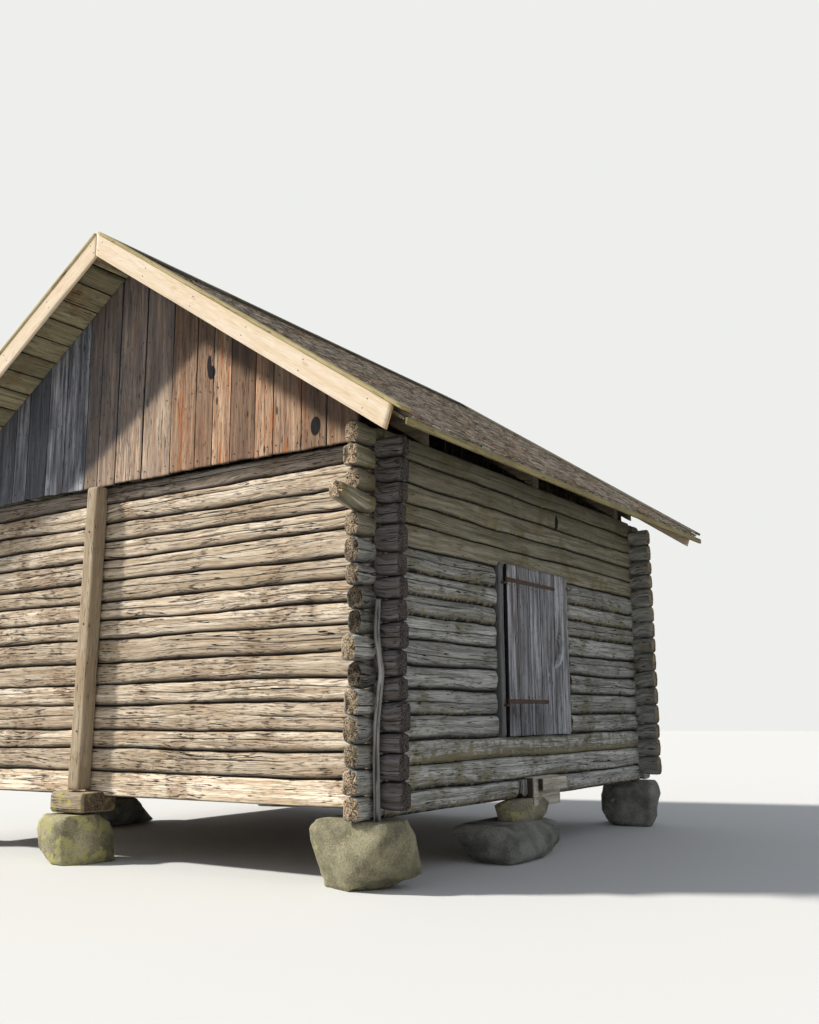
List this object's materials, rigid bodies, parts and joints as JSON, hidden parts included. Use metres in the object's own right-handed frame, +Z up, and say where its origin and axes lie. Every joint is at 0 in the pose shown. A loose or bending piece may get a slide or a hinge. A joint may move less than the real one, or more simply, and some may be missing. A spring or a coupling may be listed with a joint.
{
  "type": "cross-notched log storehouse",
  "caption": "Traditional Nordic log storehouse on field stones, with notched corners, boarded gables, a shake roof and a hinged plank door.",
  "frame": {"origin": "on the ground, under the middle of the house", "axes": "+X out of the wall with the door, across the ridge; +Y along the ridge, away from the gable with the prop; +Z up"},
  "size_m": [6.4186, 6.11, 5.2996],
  "materials": {
    "weathered_pine_log": "hewn, weathered grey-beige, checked",
    "weathered_board": "sawn, weathered brown-grey with resin streaks",
    "door_board": "planed, weathered silver grey",
    "fresh_pine_board": "sawn, lately renewed, unpainted",
    "roof_board": "sawn, unpainted",
    "roof_shake": "split, weathered",
    "inner_timber": "hewn or sawn, unpainted",
    "field_stone": "rough, lichened",
    "forged_iron": "forged, rusted"
  },
  "bodies": {
    "house": {"front_gable_logs": "weathered_pine_log", "back_gable_logs": "weathered_pine_log", "door_wall_lower_logs": "weathered_pine_log", "door_wall_near_logs": "weathered_pine_log", "door_wall_far_logs": "weathered_pine_log", "door_wall_upper_logs": "weathered_pine_log", "far_side_wall_logs": "weathered_pine_log", "floor_joists": "inner_timber", "floor_boards": "inner_timber", "hinge_pintles": "forged_iron", "door_jambs": "door_board", "sill_cleat": "weathered_pine_log", "sill_beam_end": "weathered_pine_log", "step_block": "weathered_pine_log", "ridge_log": "inner_timber", "rafters_door_side": "inner_timber", "rafters_far_side": "inner_timber", "gable_rafters_door_side": "inner_timber", "gable_rafters_far_side": "inner_timber", "ridge_posts": "inner_timber", "roof_boards_door_side": "roof_board", "roof_boards_far_side": "roof_board", "roof_shakes_door_side": "roof_shake", "roof_shakes_far_side": "roof_shake", "eave_batten_door_side": "fresh_pine_board", "eave_batten_far_side": "fresh_pine_board", "ridge_boards": "weathered_board", "front_gable_boards": "weathered_board", "back_gable_boards": "weathered_board", "front_bargeboards": "fresh_pine_board", "back_bargeboards": "fresh_pine_board", "front_barge_caps": "fresh_pine_board", "back_barge_caps": "fresh_pine_board", "gable_prop": "weathered_pine_log", "prop_block": "weathered_pine_log", "prop_stone": "field_stone", "corner_stones_front": "field_stone", "corner_stones_back": "field_stone", "mid_stones": "field_stone", "bearer_stones": "field_stone", "corner_pole": "weathered_pine_log"},
    "door_leaf": {"door_boards": "door_board", "door_ledges": "door_board", "door_strap_hinges": "forged_iron", "door_handle": "door_board"}
  },
  "joints": [
    {"name": "door_hinge", "type": "hinge", "parent": "house", "child": "door_leaf", "pos_m": [2.6258, -0.607, 1.7965], "axis": [0, 0, -1], "range_deg": [0, 100]}
  ]
}
